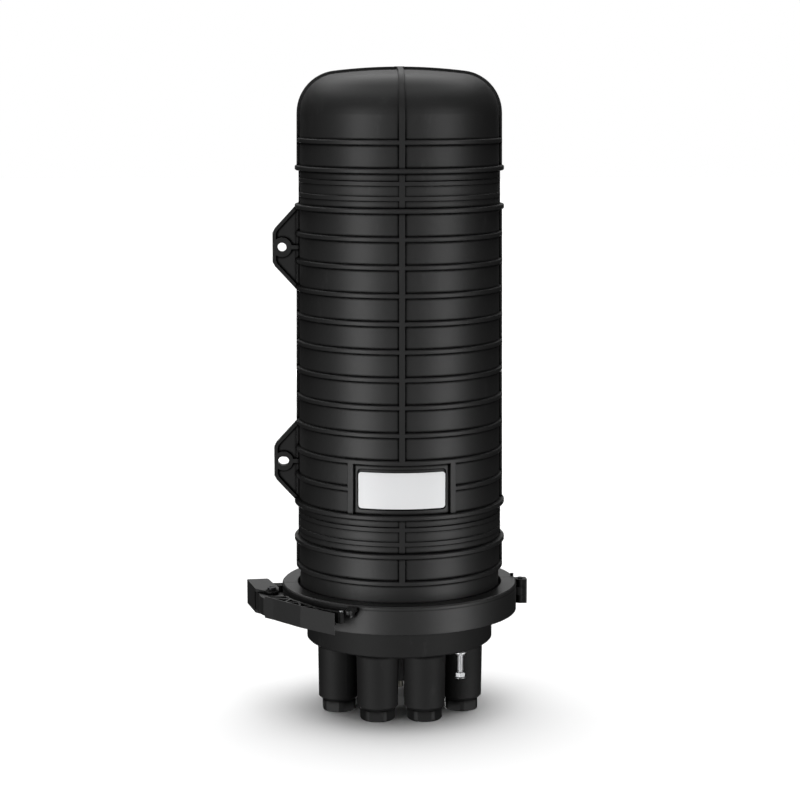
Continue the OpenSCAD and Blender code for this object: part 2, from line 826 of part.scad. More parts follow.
// ---- gland nuts, glands and blanking rods ----
module gland_nut(i) {
    color([0.16, 0.16, 0.17]) at_port(i) difference() {
        union() {
            intersection() {
                rotate([0, 0, nut_turns[i]]) cylinder(d = nut_flats / cos(30), h = nut_head, $fn = 6);
                union() {
                    cylinder(d1 = nut_corner_d - 2.4, d2 = nut_corner_d, h = 1.2);
                    translate([0, 0, 1.2]) cylinder(d = nut_corner_d, h = nut_head);
                }
            }
            cylinder(r = port_bore_r - shank_gap, h = nut_head + nut_shank);
        }
        translate([0, 0, -1]) cylinder(r = nut_bore_r, h = nut_head + nut_shank + 2);
    }
}

nut_turns = [43, 13, 38, 24, 7, 51, 18, 33];
gland_z = nut_head + nut_shank + part_gap;
rod_r = nut_bore_r - part_gap;

module gland(i) {
    color([0.06, 0.06, 0.06]) at_port(i) translate([0, 0, gland_z]) difference() {
        cylinder(r = port_bore_r, h = gland_len);
        translate([0, 0, -1]) cylinder(r = rod_r, h = gland_len + 2);
    }
}

module blanking_rod(i) {
    color([0.08, 0.08, 0.09]) at_port(i) translate([0, 0, 2]) {
        cylinder(r = rod_r, h = gland_z + gland_len + 4);
        translate([0, 0, gland_z + gland_len - 2]) cylinder(r = port_bore_r - 1, h = 6);
    }
}

// ---- earth stud and valve ----
washer_t = 1.6;
nut_m = 0.8 * stud_d;
stud_hole = floor_t - 2;

module at_stud() {
    rotate([0, 0, stud_angle]) translate([0, -stud_r, 0]) children();
}

module earth_stud() {
    color([0.78, 0.79, 0.8]) at_stud() {
        translate([0, 0, collar_z - stud_len]) cylinder(d = stud_d, h = stud_len + stud_hole);
        translate([0, 0, collar_z - 3 * washer_t]) cylinder(d = 1.6 * stud_d, h = 2 * washer_t, $fn = 6);
    }
}

module earth_washer() {
    color([0.8, 0.8, 0.82]) at_stud() translate([0, 0, collar_z - washer_t]) difference() {
        cylinder(d = 2 * stud_d, h = washer_t);
        translate([0, 0, -1]) cylinder(d = stud_d, h = washer_t + 2);
    }
}

module earth_nut() {
    color([0.78, 0.79, 0.8]) at_stud() translate([0, 0, collar_z - stud_len + 1]) difference() {
        union() {
            cylinder(d = stud_d * 10 / 6 / cos(30), h = nut_m, $fn = 6);
            translate([0, 0, nut_m - small]) cylinder(d = 2 * stud_d, h = 1.2);
        }
        translate([0, 0, -1]) cylinder(d = stud_d, h = nut_m + 4);
    }
}

module valve_body() {
    color([0.1, 0.1, 0.1]) translate([0, 0, collar_z - valve_len]) difference() {
        union() {
            cylinder(d = valve_body_d, h = valve_len);
            translate([0, 0, valve_len - 6]) cylinder(d = valve_body_d * 1.5, h = 6, $fn = 6);
        }
        translate([0, 0, -1]) cylinder(d = valve_d, h = valve_len + 2);
    }
}

module valve_stem() {
    color([0.7, 0.68, 0.6]) translate([0, 0, collar_z - valve_len - 7.5])
        cylinder(d = valve_d, h = valve_len + floor_t + 14);
}

// ---- tray frame and trays, inside the dome ----
frame_z0 = floor_z + post_h;
tray_z0 = frame_z0 + tray_lift;
tray_top = tray_z0 + tray_len;
frame_y = 12;
frame_flange = 14;
window_edge = 25;
window_h = 56;
window_corner = 8;
stack_y = frame_y - frame_t / 2 - part_gap;

module tray_frame() {
    h = tray_top + frame_over - frame_z0;
    color([0.72, 0.73, 0.75]) difference() {
        union() {
            translate([-frame_w / 2, frame_y - frame_t / 2, frame_z0]) cube([frame_w, frame_t, h]);
            translate([-frame_w / 2, frame_y - foot_depth, frame_z0]) cube([frame_w, foot_depth, frame_t]);
            for (x = [-1, 1])
                translate([x * (frame_w - frame_t) / 2 - frame_t / 2, frame_y - frame_t / 2, frame_z0])
                    cube([frame_t, frame_flange, h]);
        }
        for (x = [-1, 1]) translate([x * frame_screw_x, frame_foot_y, frame_z0 - 1])
            cylinder(d = frame_screw_d + 0.4, h = frame_t + 2);
        for (i = [0 : 2]) translate([0, frame_y, tray_z0 + (i + 0.5) * tray_len / 3]) rotate([90, 0, 0])
            linear_extrude(height = 3 * frame_t, center = true)
                rounded_plate(frame_w - 2 * window_edge, window_h, window_corner);
    }
}

module frame_screws() {
    color([0.78, 0.79, 0.8]) for (x = [-1, 1])
        translate([x * frame_screw_x, frame_foot_y, frame_z0 + frame_t]) {
            translate([0, 0, -frame_t - 9]) cylinder(d = frame_screw_d, h = frame_t + 9 + small);
            cylinder(d = 2 * frame_screw_d, h = 3);
        }
}

// Slack basket: a round-cornered tub on the rear of the frame.
basket_d = 34;
basket_w = frame_w - 2 * frame_t - 2;
basket_h = tray_len - 30;
basket_corner = 30;

module slack_basket() {
    color([0.8, 0.81, 0.83]) translate([0, frame_y + frame_t / 2, (tray_z0 + tray_top) / 2])
        rotate([-90, 0, 0]) difference() {
            linear_extrude(height = basket_d) rounded_plate(basket_w, basket_h, basket_corner);
            translate([0, 0, tray_wall]) linear_extrude(height = basket_d)
                rounded_plate(basket_w - 2 * tray_wall, basket_h - 2 * tray_wall, basket_corner - tray_wall);
        }
}

tray_eye_r = 2.8;
eye_z = tray_z0 - 5;
function tray_y(i) = stack_y - (i + 1) * tray_t - i * tray_gap;

// Block on the frame with one pair of cheeks for each tray.
module tray_hinge() {
    depth = tray_count * (tray_t + tray_gap);
    color([0.25, 0.26, 0.28]) difference() {
        translate([-tray_w / 2 + 12, stack_y - depth, eye_z - 9]) cube([tray_w - 24, depth, 12]);
        for (i = [0 : tray_count - 1]) {
            y = tray_y(i) + tray_t / 2;
            translate([-tray_w / 2 + 20, y - tray_eye_r - 0.6, eye_z - 4])
                cube([tray_w - 40, 2 * tray_eye_r + 1.2, 12]);
            translate([0, y, eye_z]) rotate([0, 90, 0])
                cylinder(d = 2.5, h = tray_w, center = true);
        }
    }
}

module tray_pins() {
    color([0.78, 0.79, 0.8]) for (i = [0 : tray_count - 1])
        translate([0, tray_y(i) + tray_t / 2, eye_z]) rotate([0, 90, 0])
            cylinder(d = 2.5, h = tray_w - 26, center = true);
}

spool_r = 30;
comb_slots = 12;

// Splice tray: shallow tub, two spools for the fibre and a comb of splice holders.
module splice_tray(i) {
    floor_y = tray_t - tray_wall;
    color([0.86, 0.87, 0.88]) translate([0, tray_y(i), 0]) {
        translate([0, tray_t, (tray_z0 + tray_top) / 2]) rotate([90, 0, 0]) {
            difference() {
                linear_extrude(height = tray_t) rounded_plate(tray_w, tray_len, 14);
                translate([0, 0, tray_wall]) linear_extrude(height = tray_t)
                    rounded_plate(tray_w - 2 * tray_wall, tray_len - 2 * tray_wall, 12.4);
            }
            for (side = [-1, 1]) translate([0, side * (tray_len / 2 - spool_r - 16), tray_wall - small])
                difference() {
                    cylinder(r = spool_r, h = tray_t - 2 * tray_wall);
                    translate([0, 0, -1]) cylinder(r = spool_r - tray_wall, h = tray_t);
                }
            for (k = [0 : comb_slots]) translate([(k - comb_slots / 2) * 5, 0, tray_wall + 2.5 - small])
                cube([1.4, 42, 5], center = true);
        }
        translate([0, tray_t / 2, eye_z]) rotate([0, 90, 0]) difference() {
            union() {
                cylinder(r = tray_eye_r, h = tray_w - 42, center = true);
                translate([-(tray_z0 + 1 - eye_z) / 2, 0, 0])
                    cube([tray_z0 + 1 - eye_z, 3, tray_w - 42], center = true);
            }
            cylinder(d = 2.5, h = tray_w, center = true);
        }
    }
}

module tray_cover() {
    y = tray_y(tray_count - 1) - tray_gap - tray_wall;
    color([0.6, 0.66, 0.7]) translate([0, y + tray_wall, (tray_z0 + tray_top) / 2]) rotate([90, 0, 0])
        linear_extrude(height = tray_wall) rounded_plate(tray_w, tray_len, 14);
}

// Hook-and-loop strap round the frame and the trays.
strap_w = 20;
strap_t = 1.5;

module tray_strap() {
    y0 = tray_y(tray_count - 1) - tray_gap - tray_wall - part_gap;
    y1 = frame_y + frame_t / 2 + basket_d + part_gap;
    x = frame_w / 2 + part_gap;
    color([0.07, 0.07, 0.08]) translate([0, (y0 + y1) / 2, tray_z0 + tray_len * 0.5 - strap_w / 2])
        linear_extrude(height = strap_w) difference() {
            rounded_plate(2 * (x + strap_t), y1 - y0 + 2 * strap_t, 5);
            rounded_plate(2 * x, y1 - y0, 3.5);
        }
}

dome();
label();
base();
seal_ring();
rear_hoop();
front_hoop();
hinge_pin();
lever();
lever_pivot();
hook();
hook_pin();
catch_pin();
keeper_pin();
for (i = [0 : 7]) {
    gland_nut(i);
    gland(i);
    blanking_rod(i);
}
earth_stud();
earth_washer();
earth_nut();
valve_body();
valve_stem();
tray_frame();
slack_basket();
tray_hinge();
for (i = [0 : tray_count - 1])
    splice_tray(i);
tray_cover();
tray_pins();
tray_strap();
frame_screws();
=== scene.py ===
"""Dome splice closure: looks, turned fittings, studio and camera, over its CAD solids. Lengths are in metres."""

import math

import bmesh
import bpy
from mathutils import Euler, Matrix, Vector


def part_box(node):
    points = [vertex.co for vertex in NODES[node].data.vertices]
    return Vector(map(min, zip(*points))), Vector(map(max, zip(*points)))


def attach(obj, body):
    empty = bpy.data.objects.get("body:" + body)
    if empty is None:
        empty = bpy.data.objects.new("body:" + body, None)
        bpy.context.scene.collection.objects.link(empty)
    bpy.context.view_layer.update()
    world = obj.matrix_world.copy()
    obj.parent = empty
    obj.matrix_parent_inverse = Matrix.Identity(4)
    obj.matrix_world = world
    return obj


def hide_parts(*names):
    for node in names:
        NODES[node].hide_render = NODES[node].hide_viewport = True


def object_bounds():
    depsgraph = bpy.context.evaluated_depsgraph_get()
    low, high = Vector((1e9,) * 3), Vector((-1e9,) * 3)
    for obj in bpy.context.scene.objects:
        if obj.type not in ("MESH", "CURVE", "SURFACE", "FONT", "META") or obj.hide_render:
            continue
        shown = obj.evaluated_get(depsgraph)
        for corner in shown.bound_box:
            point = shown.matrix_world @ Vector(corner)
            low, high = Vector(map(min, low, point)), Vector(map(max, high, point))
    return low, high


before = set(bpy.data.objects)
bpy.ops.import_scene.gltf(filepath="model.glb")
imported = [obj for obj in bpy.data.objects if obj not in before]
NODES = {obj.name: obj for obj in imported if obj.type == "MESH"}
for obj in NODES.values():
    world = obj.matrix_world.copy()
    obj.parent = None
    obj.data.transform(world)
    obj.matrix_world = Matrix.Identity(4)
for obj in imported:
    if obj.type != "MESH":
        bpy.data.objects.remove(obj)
CAD_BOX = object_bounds()

# ---------------------------------------------------------------- camera
LENS_MM, SENSOR_MM = 98.55, 36.0
EYE = (-0.0573, -2.187, 0.6323)
LOOK_DOWN, TURN_RIGHT = 8.326, 1.518  # degrees
CLIP_END = 60.0

sc = bpy.context.scene
cam_data = bpy.data.cameras.new("camera")
cam_data.lens = LENS_MM
cam_data.sensor_width = SENSOR_MM
cam_data.clip_end = CLIP_END
cam = bpy.data.objects.new("camera", cam_data)
sc.collection.objects.link(cam)
cam.location = EYE
cam.rotation_euler = Euler((math.radians(90 - LOOK_DOWN), 0.0, math.radians(-TURN_RIGHT)), "XYZ")
sc.camera = cam


# ---------------------------------------------------------------- node helpers
def grey(v):
    return (v, v, v, 1.0)


class Tree:
    """Short names for building a material's node tree."""

    def __init__(self, name):
        self.mat = bpy.data.materials.new(name)
        self.mat.use_nodes = True
        self.nt = self.mat.node_tree
        self.nt.nodes.clear()
        self.bsdf = self.node("BsdfPrincipled")
        self.node("OutputMaterial", Surface=self.bsdf.outputs[0])
        self.coord = self.node("TexCoord").outputs["Object"]

    def set(self, socket, value):
        """Links an input to another node's output, or gives it a value."""
        if hasattr(value, "is_output"):
            self.nt.links.new(value, socket)
        else:
            socket.default_value = value

    def fill(self, node, **inputs):
        """Sets inputs by name, with _ for a space; None leaves an input as it is."""
        for key, value in inputs.items():
            if value is not None:
                self.set(node.inputs[key.replace("_", " ")], value)
        return node

    def node(self, kind, **inputs):
        return self.fill(self.nt.nodes.new("ShaderNode" + kind), **inputs)

    def put(self, **values):
        self.fill(self.bsdf, **values)

    def noise(self, scale, detail, rough, stretch=None):
        vector = self.coord
        if stretch is not None:
            vector = self.node("Mapping", Vector=self.coord, Scale=stretch).outputs["Vector"]
        return self.node("TexNoise", Vector=vector, Scale=scale, Detail=detail, Roughness=rough).outputs["Fac"]

    def bands(self, scale, direction):
        n = self.node("TexWave", Vector=self.coord, Scale=scale)
        n.bands_direction = direction
        return n.outputs["Fac"]

    def ramp(self, fac, *stops):
        """Grey ramp between two stops, each a (position, value)."""
        n = self.node("ValToRGB", Fac=fac)
        for element, (position, value) in zip(n.color_ramp.elements, stops):
            element.position = position
            element.color = grey(value)
        return n.outputs["Color"]

    def math(self, op, a, b=None, clamp=False):
        n = self.node("Math")
        n.operation = op
        n.use_clamp = clamp
        self.set(n.inputs[0], a)
        if b is not None:
            self.set(n.inputs[1], b)
        return n.outputs[0]

    def mix(self, fac, a, b):
        n = self.node("Mix")
        n.data_type = "RGBA"
        return self.fill(n, Factor=fac, A=a, B=b).outputs["Result"]

    def span(self, fac, low, high):
        """Stretches 0 to 1 over the range from low to high."""
        return self.node("MapRange", Value=fac, To_Min=low, To_Max=high).outputs[0]

    def part(self, vector, axis):
        return self.node("SeparateXYZ", Vector=vector).outputs[axis]

    def rise(self, vector, low, high):
        """0 where the vector's Z is below low, 1 where it is above high."""
        return self.node("MapRange", Value=self.part(vector, "Z"), From_Min=low, From_Max=high).outputs[0]

    def upward(self, low, high):
        """0 on upright faces, 1 on level faces that look up."""
        return self.rise(self.node("NewGeometry").outputs["Normal"], low, high)

    def near(self, axis, level, width):
        """1 where the object's coordinate is at the level, 0 from the width on."""
        off = self.math("ABSOLUTE", self.math("SUBTRACT", self.part(self.coord, axis), level))
        return self.math("SUBTRACT", 1.0, self.math("DIVIDE", off, width), clamp=True)

    def bevel(self, radius, samples=4):
        """Normal that is rounded over at the edges."""
        n = self.node("Bevel", Radius=radius)
        n.samples = samples
        return n.outputs[0]

    def rim(self, bevelled):
        """0 on open faces, more the further the bevelled normal leans from the face's own."""
        n = self.node("VectorMath")
        n.operation = "DOT_PRODUCT"
        self.set(n.inputs[0], bevelled)
        self.set(n.inputs[1], self.node("NewGeometry").outputs["Normal"])
        return self.math("SUBTRACT", 1.0, n.outputs["Value"], clamp=True)

    def occlusion(self, distance, samples=6):
        """0 deep in a crease, 1 in the open."""
        n = self.node("AmbientOcclusion", Distance=distance)
        n.samples = samples
        return n.outputs["AO"]

    def bump(self, height, distance, strength, normal=None):
        return self.node("Bump", Strength=strength, Distance=distance, Height=height, Normal=normal).outputs[0]


# ---------------------------------------------------------------- looks
# Noises are (scale, detail, roughness) and, where they run upright, a stretch.
GRAIN = (2600.0, 2.0, 0.6)
FLOW = (9.0, 3.0, 0.5, (1.0, 1.0, 0.25))
SCUFF = (60.0, 5.0, 0.7, (1.0, 1.0, 0.35))
SCUFF_STOPS = ((0.56, 0.0), (0.74, 1.0))
# Occlusion to painted crease shade: 1 deep in a crease, 0 in the open.
CREASE_STOPS = ((0.74, 1.0), (0.93, 0.0))
GRAIN_DEPTH = 0.00004
CROWN_EDGE = 0.0018  # radius of the softened edges on a faded crown
# Faces that look up get painted shade: a darker grey and a dimmer gloss.
SLOPING, LEVEL = (0.3, 0.7), (0.9, 0.97)  # upward part of the normal where a face begins to count, and counts in full
# Greys as shares of the plastic's own; the crease grey and the grey of faces that look up are painted shade.
FLOW_DARK, FLOW_PALE, SCUFFED, WORN, PAINTED_CREASE_SHADE, PAINTED_UPWARD_SHADE = 0.86, 1.14, 2.6, 2.2, 0.1, 0.4
WORN_LIMIT = 0.2  # the palest grey of a worn edge
WEAR_GAIN = 3.0
# Share of the reflection left in a crease: a dimmed reflection, painted shade.
CREASE_GLOSS = 0.03
ROUGH_SWING, ROUGH_GRAIN, ROUGH_CREASE = 0.03, 0.04, 0.35


def moulded(
    name, value, rough, ior=1.5, edge=0.0004, wear=0.12, crease=0.005, top=0.3, polished=None, lines=(), fade=None
):
    """Satin moulded plastic: fine grain and flow marks, with painted shade that makes the creases beside the ribs
    duller and darker.

    value is its grey, edge the radius of its softened edges, wear how pale these are, crease how far the painted
    crease shade reaches, top the gloss of faces that look up, which with their darker grey is painted shade, and
    polished the roughness of level ones, which get that darker grey as painted shade too. lines are fine lines of
    painted shade, each (axis, level, width, depth). Between the two levels of fade the painted crease shade fades
    and the edges soften.
    """
    t = Tree(name)
    fine = t.noise(*GRAIN)
    flow = t.noise(*FLOW)
    scuffs = t.ramp(t.noise(*SCUFF), *SCUFF_STOPS)
    # shade is painted shade, found from occlusion in the creases.
    shade = t.ramp(t.occlusion(crease), *CREASE_STOPS)
    if fade is not None:
        crown = t.rise(t.coord, *fade)
        edge = t.span(crown, edge, CROWN_EDGE)
        shade = t.math("MULTIPLY", shade, t.math("SUBTRACT", 1.0, crown))
    # Each of the fine lines adds painted shade to the crease shade.
    for axis, level, width, depth in lines:
        shade = t.math("MAXIMUM", shade, t.math("MULTIPLY", t.near(axis, level, width), depth))
    normal = t.bevel(edge)
    worn = t.math("MULTIPLY", t.span(t.rim(normal), 0.0, WEAR_GAIN), wear, clamp=True)
    # slope marks the faces that look up, for their painted shade.
    slope = t.upward(*SLOPING)

    base = t.mix(flow, grey(value * FLOW_DARK), grey(value * FLOW_PALE))
    base = t.mix(t.math("MULTIPLY", scuffs, scuffs), base, grey(value * SCUFFED))
    base = t.mix(worn, base, grey(min(value * WORN, WORN_LIMIT)))
    # Painted shade in the creases: a darker grey here and a dimmed reflection below.
    base = t.mix(shade, base, grey(value * PAINTED_CREASE_SHADE))
    # Painted shade on faces that look up: a darker grey here and a dimmer gloss below.
    base = t.mix(t.math("MULTIPLY", slope, 1.0 - top), base, grey(value * PAINTED_UPWARD_SHADE))
    gloss = t.mix(shade, grey(1.0), grey(CREASE_GLOSS))
    gloss = t.mix(slope, gloss, t.mix(shade, grey(top), grey(top * CREASE_GLOSS)))
    swing = t.span(flow, rough - ROUGH_SWING, rough + ROUGH_SWING)
    r = t.math("ADD", swing, t.math("MULTIPLY", fine, ROUGH_GRAIN))
    r = t.math("ADD", r, t.math("MULTIPLY", shade, ROUGH_CREASE))
    # Level faces: lower roughness for their polish, and the darker grey of the painted upward shade.
    if polished is not None:
        up = t.upward(*LEVEL)
        base = t.mix(up, base, grey(value * PAINTED_UPWARD_SHADE))
        gloss = t.mix(up, gloss, grey(1.0))
        r = t.math("MULTIPLY", r, t.math("SUBTRACT", 1.0, up))
        r = t.math("ADD", r, t.math("MULTIPLY", up, polished))
    t.put(Base_Color=base, Roughness=r, Specular_Tint=gloss, IOR=ior, Normal=t.bump(fine, GRAIN_DEPTH, 1.0, normal))
    return t.mat


STREAKS, SPOTS = (900.0, 4.0, 0.6), (180.0, 4.0, 0.7)
METAL_EDGE, STREAK_DEPTH, DULL = 0.0003, 0.00002, 0.8
STREAK_SWING, SPOT_ROUGH = 0.06, 0.08


def metal(name, colour, rough, brushed=(1.0, 1.0, 1.0)):
    """Plated metal with fine streaks, stretched by brushed, and duller spots."""
    t = Tree(name)
    streak = t.noise(*STREAKS, brushed)
    spots = t.noise(*SPOTS)
    dull = tuple(c * DULL for c in colour[:3]) + (1.0,)
    swing = t.span(streak, rough - STREAK_SWING, rough + STREAK_SWING)
    t.put(
        Base_Color=t.mix(spots, dull, colour),
        Roughness=t.math("ADD", swing, t.math("MULTIPLY", spots, SPOT_ROUGH)),
        Metallic=1.0,
        Normal=t.bump(streak, STREAK_DEPTH, 0.6, t.bevel(METAL_EDGE)),
    )
    return t.mat


def rubber(name, value):
    """Dull rubber with a little dust."""
    t = Tree(name)
    fine = t.noise(1500.0, 3.0, 0.6)
    dust = t.noise(40.0, 4.0, 0.6)
    t.put(
        Base_Color=t.mix(dust, grey(value * 0.8), grey(value * 1.5)),
        Roughness=t.span(fine, 0.62, 0.78),
        Normal=t.bump(fine, 0.00006, 0.8),
    )
    return t.mat


def label_material():
    """White polyester film: a satin print coat with a faint cloud and a fine tooth."""
    t = Tree("label_film")
    fine = t.noise(1800.0, 2.0, 0.5)
    cloud = t.noise(30.0, 3.0, 0.5)
    t.put(
        Base_Color=t.mix(cloud, (0.89, 0.90, 0.91, 1.0), (0.94, 0.94, 0.95, 1.0)),
        Roughness=t.span(fine, 0.38, 0.50),
        Coat_Weight=0.15,
        Coat_Roughness=0.3,
        Normal=t.bump(fine, 0.00002, 0.5),
    )
    return t.mat


def cover_material():
    """Pale blue plastic with a slight haze."""
    t = Tree("cover_clear")
    haze = t.noise(300.0, 3.0, 0.5)
    t.put(Base_Color=(0.6, 0.68, 0.72, 1.0), Roughness=t.span(haze, 0.12, 0.22))
    return t.mat


def webbing():
    """Woven black strap."""
    t = Tree("strap_webbing")
    weave = t.bands(900.0, "Z")
    fuzz = t.noise(1200.0, 4.0, 0.7)
    t.put(
        Base_Color=t.mix(fuzz, grey(0.012), grey(0.03)),
        Roughness=0.9,
        Normal=t.bump(weave, 0.0003, 0.8),
    )
    return t.mat


CROWN_LEVELS = (0.585, 0.625)
# The hoop's top as its plain front shows it, clear of the stop block and the ears.
hoop_front = [v.co for v in NODES["front_hoop"].data.vertices if abs(v.co.x) < 0.03 and v.co.y < -0.10]
hoop_top = max(co.z for co in hoop_front)
# Fine lines of painted shade on the hoop: one for the shade of a groove under its top edge, one for the shadow in the
# split between its halves.
HOOP_GROOVE_SHADE = ("Z", hoop_top - 0.0040, 0.0009, 0.45)
HOOP_SPLIT_SHADOW = ("Y", 0.0, 0.0011, 0.8)

DOME = moulded("dome_plastic", 0.0075, 0.48, edge=0.00025, crease=0.0028, top=0.23, fade=CROWN_LEVELS)
BASE = moulded("base_plastic", 0.0088, 0.66, ior=1.40)
HOOP = moulded(
    "hoop_plastic", 0.006, 0.49, ior=1.58, edge=0.0011, crease=0.003, polished=0.28, lines=(HOOP_GROOVE_SHADE, HOOP_SPLIT_SHADOW)
)
LATCH = moulded("latch_plastic", 0.007, 0.46, ior=1.72, crease=0.006, top=0.29)
HINGE = moulded("hinge_plastic", 0.003, 0.32, ior=1.42, crease=0.006)
# Matt deeper black: the valve body's own, and painted shade on the lever's corner under the keeper pin.
MATT_AND_SHADE = moulded("matt_plastic_and_shade", 0.003, 0.70, ior=1.45, crease=0.010)
NUT = moulded("nut_plastic", 0.007, 0.54, ior=1.38)
RUBBER = rubber("gland_rubber", 0.012)
ROD = moulded("rod_plastic", 0.008, 0.55)
STEEL = metal("zinc_steel", (0.36, 0.365, 0.37, 1.0), 0.36)
# Pale zinc: the stud's own thread, and a paler copy of the zinc on the washer and hexagon in the collar's shadow,
# painted light.
PALE_ZINC_AND_PAINTED_LIGHT = metal("zinc_pale_and_painted_light", (0.92, 0.92, 0.93, 1.0), 0.52)
NICKEL = metal("nickel", (0.30, 0.29, 0.26, 1.0), 0.34)
SHEET = metal("frame_sheet", (0.75, 0.76, 0.78, 1.0), 0.36, brushed=(1.0, 1.0, 0.02))
OXIDE = metal("black_oxide", (0.035, 0.035, 0.038, 1.0), 0.42)
TRAY = moulded("tray_abs", 0.62, 0.42, wear=0.0, crease=0.002, top=1.0)
LABEL = label_material()
COVER = cover_material()
STRAP = webbing()

LOOKS = {
    "dome": DOME, "label": LABEL, "base": BASE, "rear_hoop": HOOP, "front_hoop": HOOP,
    "lever": LATCH, "hook": LATCH, "seal_ring": RUBBER, "tray_frame": SHEET, "tray_hinge": TRAY,
    "slack_basket": TRAY, "tray_cover": COVER, "tray_strap": STRAP, "valve_body": MATT_AND_SHADE, "valve_stem": NICKEL,
    "hinge_pin": OXIDE, "lever_pivot": OXIDE, "hook_pin": OXIDE, "catch_pin": OXIDE,
}
FAMILIES = (("gland_nut", NUT), ("gland", RUBBER), ("blanking", ROD), ("splice_tray", TRAY))


def look(name):
    """A node's own look, its family's, or else steel."""
    if name in LOOKS:
        return LOOKS[name]
    return next((mat for start, mat in FAMILIES if name.startswith(start)), STEEL)


for name, obj in NODES.items():
    obj.data.materials.clear()
    obj.data.materials.append(look(name))
    for p in obj.data.polygons:
        p.material_index = 0

# ---------------------------------------------------------------- turned and threaded fittings
SHARP = math.radians(35.0)
ROUND, HEX_ROUND, FILLET_STEPS = 48, 96, 5  # points round a disc and a hexagon, and steps of a fillet


def span_of(node):
    """Axis, lowest and highest level and diameter of an upright turned node."""
    lo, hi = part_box(node)
    return ((lo[0] + hi[0]) / 2, (lo[1] + hi[1]) / 2), lo[2], hi[2], min(hi[0] - lo[0], hi[1] - lo[1])


def skin(name, rings, mat, body, cap=True):
    """Closed surface over rings of points, each once round the axis; without caps the last ring meets the first."""
    n = len(rings[0])
    verts = [v for ring in rings for v in ring]
    faces = []
    last = len(rings) - 1 if cap else len(rings)
    for k in range(last):
        a, b = k * n, (k + 1) % len(rings) * n
        faces += [(a + j, a + (j + 1) % n, b + (j + 1) % n, b + j) for j in range(n)]
    if cap:
        faces.append(tuple(reversed(range(n))))
        faces.append(tuple(range(len(verts) - n, len(verts))))
    me = bpy.data.meshes.new(name)
    me.from_pydata([tuple(v) for v in verts], [], faces)
    bm = bmesh.new()
    bm.from_mesh(me)
    bmesh.ops.recalc_face_normals(bm, faces=bm.faces)
    bm.to_mesh(me)
    bm.free()
    for p in me.polygons:
        p.use_smooth = len(p.vertices) == 4
    me.set_sharp_from_angle(angle=SHARP)
    obj = bpy.data.objects.new(name, me)
    sc.collection.objects.link(obj)
    me.materials.append(mat)
    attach(obj, body)
    return obj


def circle(axis, r, z, n):
    """Ring of n points; r is a radius or a function of the angle, and so is z."""
    out = []
    for j in range(n):
        a = 2 * math.pi * j / n
        rad = r(a) if callable(r) else r
        h = z(a) if callable(z) else z
        out.append((axis[0] + rad * math.cos(a), axis[1] + rad * math.sin(a), h))
    return out


def turned(name, axis, profile, mat, body):
    """Turned piece from (radius, level) points, lowest first."""
    return skin(name, [circle(axis, r, z, ROUND) for r, z in profile], mat, body)


def threaded(name, axis, z0, z1, d, pitch, mat, body, n=32, steps=8):
    """Rod with a rolled thread and chamfered ends: n points round it, and steps rings in each pitch."""
    depth = 0.58 * pitch
    crest = 1.35  # above 1, so that the crests are flat
    rows = int((z1 - z0) / pitch * steps)
    rings = []
    for k in range(rows + 1):
        z = z0 + (z1 - z0) * k / rows
        room = min(z - z0, z1 - z)

        def radius(a, z=z, room=room):
            phase = (z / pitch - a / (2 * math.pi)) % 1.0
            tooth = min(1.0, crest * abs(2 * phase - 1))
            return d / 2 - max(depth * (1 - tooth), depth - room, 0.0)

        rings.append(circle(axis, radius, z, n))
    return skin(name, rings, mat, body)


def hexagon(name, axis, z0, z1, flats, bore, mat, body, turn=0.0):
    """Hexagon with turned corners, bored through."""
    seat = 0.475 * flats
    slope = math.tan(math.radians(30))

    def corner(a):
        b = (a - turn) % (math.pi / 3) - math.pi / 6
        return flats / 2 / math.cos(b)

    def drop(a):
        return (corner(a) - seat) * slope

    rings = [
        circle(axis, bore, z0, HEX_ROUND),
        circle(axis, seat, z0, HEX_ROUND),
        circle(axis, corner, lambda a: z0 + drop(a), HEX_ROUND),
        circle(axis, corner, lambda a: z1 - drop(a), HEX_ROUND),
        circle(axis, seat, z1, HEX_ROUND),
        circle(axis, bore, z1, HEX_ROUND),
    ]
    return skin(name, rings, mat, body, cap=False)


def rounded(r, z0, z1, fillet):
    """Profile of a disc with rounded rims, lowest point first."""
    arc = [math.pi / 2 * k / FILLET_STEPS for k in range(FILLET_STEPS + 1)]
    low = [(r - fillet * (1 - math.sin(a)), z0 + fillet * (1 - math.cos(a))) for a in arc]
    high = [(r - fillet * (1 - math.cos(a)), z1 - fillet * (1 - math.sin(a))) for a in arc]
    return low + high


STUD_PITCH, THREAD_DEPTH = 0.001, 0.0007
WASHER_FILLET, FLANGE_FILLET, FLANGE_HEIGHT = 0.0004, 0.0005, 0.0013
LOCK_SHARE = 0.4  # the lock washer's radius, as a share of the washer's diameter
HEX_TO_STUD, NUT_TO_STUD = 1.25, 1.5  # width over the flats, in stud diameters
HEX_REACH = 2.3  # down to the hexagon's underside, in washer thicknesses
GAP, SINK = 0.00005, 0.0001


